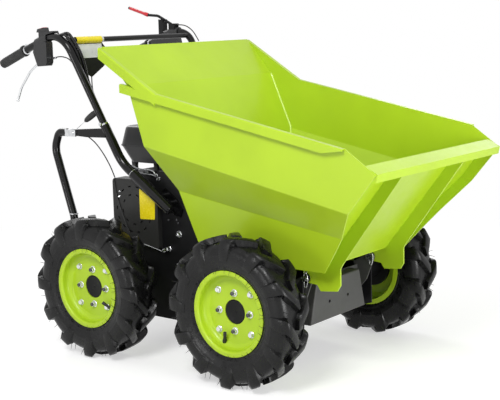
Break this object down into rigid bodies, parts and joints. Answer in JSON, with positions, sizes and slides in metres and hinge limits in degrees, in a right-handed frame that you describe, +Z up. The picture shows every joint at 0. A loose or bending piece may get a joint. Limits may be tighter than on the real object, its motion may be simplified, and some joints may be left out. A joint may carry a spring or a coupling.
{
  "type": "walk-behind site dumper",
  "caption": "Walk-behind mini site dumper: forward-tipping load tub on a lugged-wheel chassis with a petrol engine and an operator's handlebar.",
  "frame": {"origin": "on the ground under the middle of the machine, midway between front and rear axles and between lip and grips", "axes": "+Z up, -Y towards the tub's lip, +Y towards the operator, -X is the machine's right-hand side"},
  "size_m": [0.759, 1.3638, 0.9946],
  "materials": {
    "black_paint": "satin powder coat",
    "black_plastic": "fine moulded texture",
    "engine_alloy": "die cast",
    "green_paint": "gloss powder coat",
    "grey_paint": "satin powder coat",
    "grip_rubber": "matt moulded rubber",
    "red_plastic": "smooth",
    "tank_paint": "satin enamel",
    "tyre_rubber": "matt rubber",
    "zinc": "zinc plated"
  },
  "bodies": {
    "chassis": {"air_cleaner": "black_plastic", "axle_front": "black_paint", "axle_rear": "black_paint", "belt_guard": "black_paint", "brake_lever": "zinc", "chassis_floor": "black_paint", "chassis_front_plate": "black_paint", "chassis_sides": "black_paint", "control_cables": "grip_rubber", "dash_panel": "black_paint", "drive_lever": "black_paint", "engine_block": "engine_alloy", "engine_deck": "black_paint", "fuel_tank": "tank_paint", "gearbox": "black_paint", "grips": "grip_rubber", "handlebar_crossbar": "black_paint", "handlebar_sockets": "black_paint", "handlebar_tubes": "black_paint", "hinge_pins": "zinc", "lever_boxes": "black_plastic", "rear_stays": "black_paint", "recoil_cover": "black_plastic", "silencer": "grey_paint", "stay_heads": "zinc", "stop_switch": "red_plastic", "tub_rests": "grip_rubber"},
    "tub": {"tub_floor": "green_paint", "tub_front_wall": "green_paint", "tub_rear_wall": "green_paint", "tub_ribs": "green_paint", "tub_side_left": "green_paint", "tub_side_right": "green_paint"},
    "wheel_front_right": {"tyre_front_right": "tyre_rubber", "rim_front_right": "green_paint", "hub_front_right": "black_paint"},
    "wheel_front_left": {"tyre_front_left": "tyre_rubber", "rim_front_left": "green_paint", "hub_front_left": "black_paint"},
    "wheel_rear_right": {"tyre_rear_right": "tyre_rubber", "rim_rear_right": "green_paint", "hub_rear_right": "black_paint"},
    "wheel_rear_left": {"tyre_rear_left": "tyre_rubber", "rim_rear_left": "green_paint", "hub_rear_left": "black_paint"}
  },
  "joints": [
    {"name": "tub_tip", "type": "hinge", "parent": "chassis", "child": "tub", "pos_m": [0, -0.366, 0.272], "axis": [1, 0, 0], "range_deg": [0, 75]},
    {"name": "wheel_front_right_spin", "type": "hinge", "parent": "chassis", "child": "wheel_front_right", "pos_m": [-0.3264, -0.259, 0.202], "axis": [1, 0, 0], "continuous": true},
    {"name": "wheel_front_left_spin", "type": "hinge", "parent": "chassis", "child": "wheel_front_left", "pos_m": [0.3264, -0.259, 0.202], "axis": [1, 0, 0], "continuous": true},
    {"name": "wheel_rear_right_spin", "type": "hinge", "parent": "chassis", "child": "wheel_rear_right", "pos_m": [-0.3264, 0.259, 0.202], "axis": [1, 0, 0], "continuous": true},
    {"name": "wheel_rear_left_spin", "type": "hinge", "parent": "chassis", "child": "wheel_rear_left", "pos_m": [0.3264, 0.259, 0.202], "axis": [1, 0, 0], "continuous": true}
  ]
}
